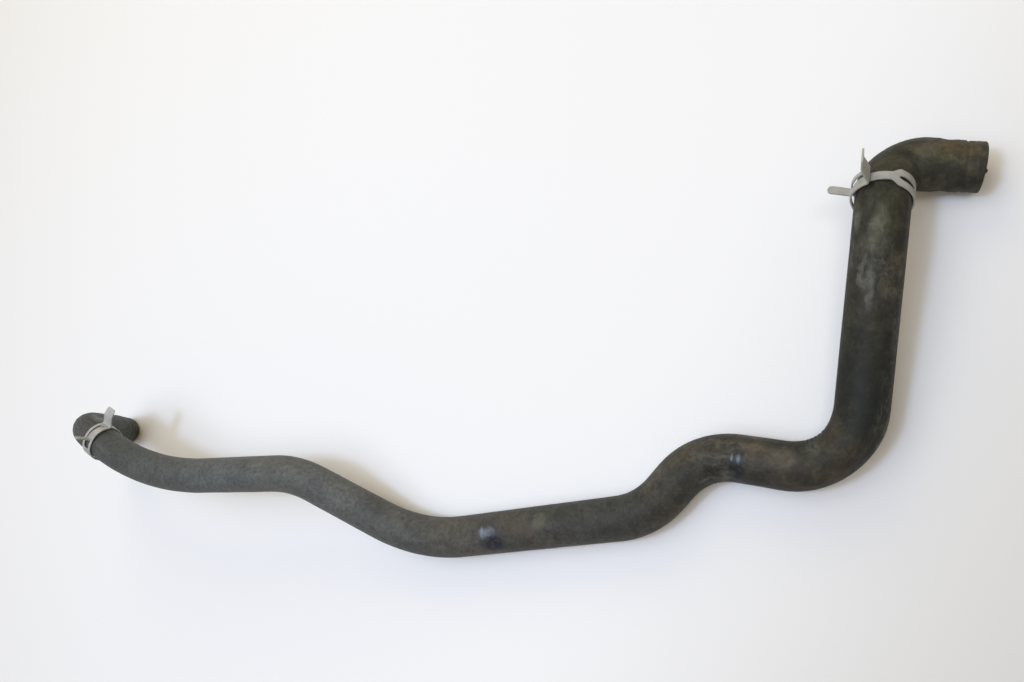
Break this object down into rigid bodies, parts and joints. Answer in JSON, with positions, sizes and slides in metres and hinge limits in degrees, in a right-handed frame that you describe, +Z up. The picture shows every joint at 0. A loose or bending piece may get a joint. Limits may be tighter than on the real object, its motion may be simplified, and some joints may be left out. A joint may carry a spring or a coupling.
{
  "type": "air intake duct",
  "caption": "Moulded rubber air hose with a round bore, bends in three directions, grooved end cuffs and a spring band clamp near each open end.",
  "frame": {"origin": "centre of the base of the bounding box, on the surface the hose lies on", "axes": "+X along the long way of the hose from the inlet mouth to the outlet mouth, +Z up as it lies, +Y towards the side the outlet elbow rises on"},
  "size_m": [0.8273, 0.2455, 0.1057],
  "materials": {
    "hose_rubber": "dull black moulded rubber with dusty wear",
    "inlet_clamp_steel": "dull grey coated spring steel",
    "outlet_clamp_steel": "dull grey coated spring steel"
  },
  "bodies": {
    "root": {"hose_body": "hose_rubber", "inlet_clamp": "inlet_clamp_steel", "outlet_clamp": "outlet_clamp_steel"}
  },
  "joints": []
}
